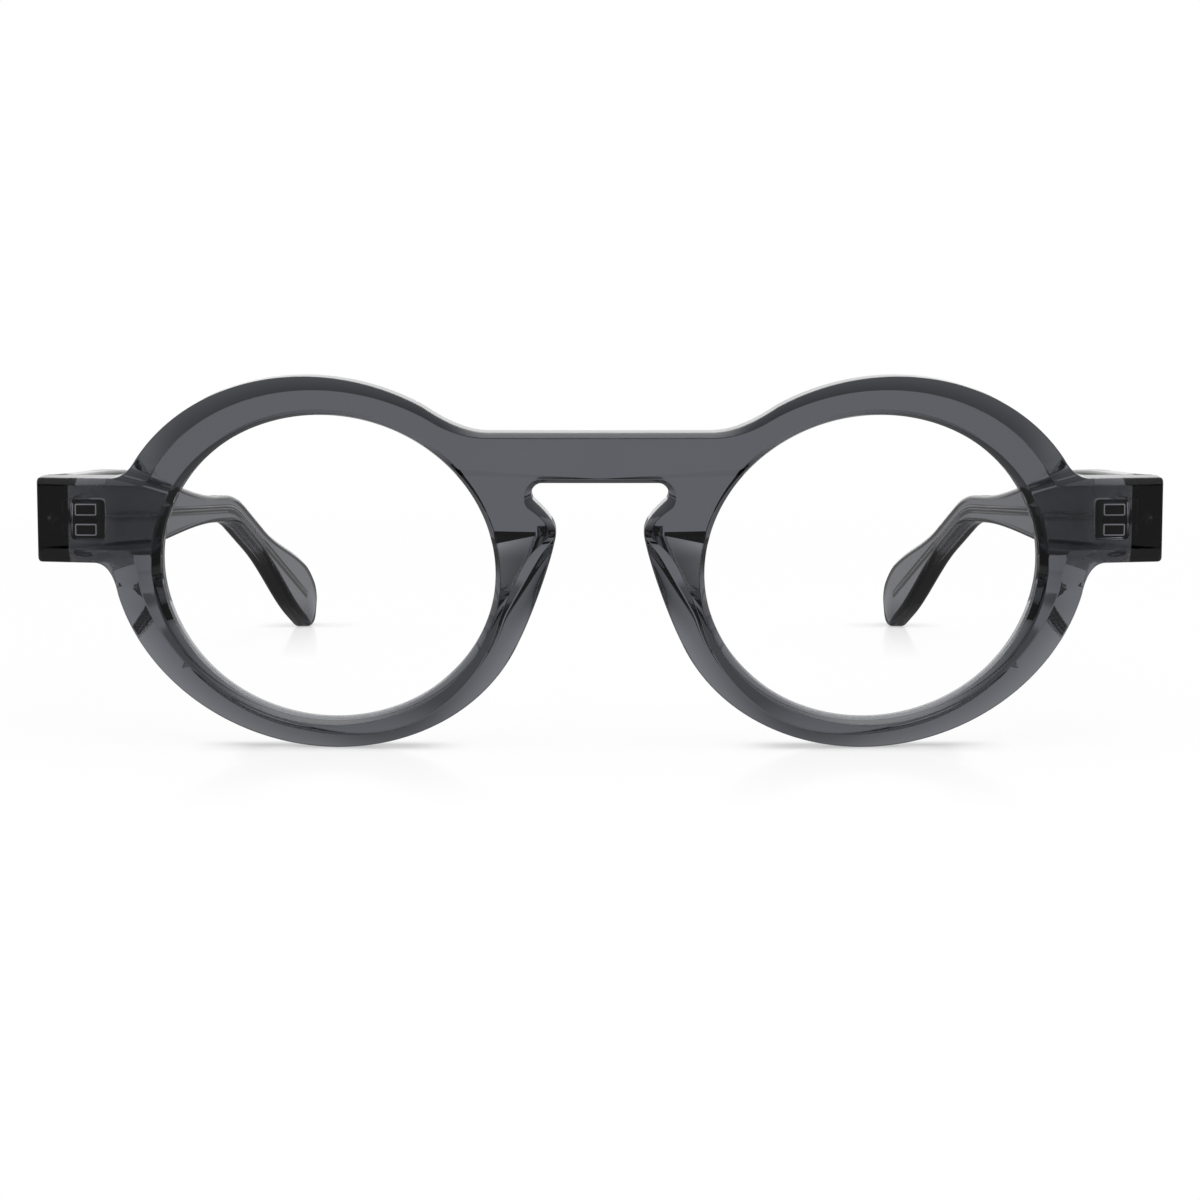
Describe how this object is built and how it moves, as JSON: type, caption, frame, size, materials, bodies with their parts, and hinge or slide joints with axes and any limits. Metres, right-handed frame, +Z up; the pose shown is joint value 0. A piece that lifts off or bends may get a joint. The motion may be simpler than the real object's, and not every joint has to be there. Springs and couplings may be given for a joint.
{
  "type": "round eyeglasses",
  "caption": "Round eyeglasses of clear smoke-grey acetate with a keyhole bridge, square end pieces, sunk hinges and folding temples with metal cores.",
  "frame": {"origin": "on the ground under the middle of the box, with the glasses standing open on the rims' feet and the temple tips", "axes": "+X to the picture's right, +Y from the front back along the temples, +Z up"},
  "size_m": [0.1448, 0.1522, 0.0476],
  "materials": {
    "front_acetate": "polished, see-through smoke grey",
    "temple_acetate": "polished, see-through light smoke grey",
    "clear_lens": "clear, coated",
    "hinge_metal": "dark, satin",
    "screw_steel": "bright, turned",
    "core_steel": "drawn wire"
  },
  "bodies": {
    "front": {"front_frame": "front_acetate", "lens_left": "clear_lens", "lens_right": "clear_lens", "nose_pad_left": "front_acetate", "nose_pad_right": "front_acetate", "front_hinge_leaf_left": "hinge_metal", "front_hinge_leaf_right": "hinge_metal", "hinge_screw_left": "screw_steel", "hinge_screw_right": "screw_steel"},
    "temple_arm_left": {"temple_left": "temple_acetate", "temple_hinge_leaf_left": "hinge_metal", "core_wire_left": "core_steel"},
    "temple_arm_right": {"temple_right": "temple_acetate", "temple_hinge_leaf_right": "hinge_metal", "core_wire_right": "core_steel"}
  },
  "joints": [
    {"name": "fold_left", "type": "hinge", "parent": "front", "child": "temple_arm_left", "pos_m": [-0.06665, -0.06188, 0.02904], "axis": [0, 0.0265, -0.9996], "range_deg": [0, 83.5]},
    {"name": "fold_right", "type": "hinge", "parent": "front", "child": "temple_arm_right", "pos_m": [0.06665, -0.06188, 0.02904], "axis": [0, -0.0265, 0.9996], "range_deg": [0, 78.5]}
  ]
}
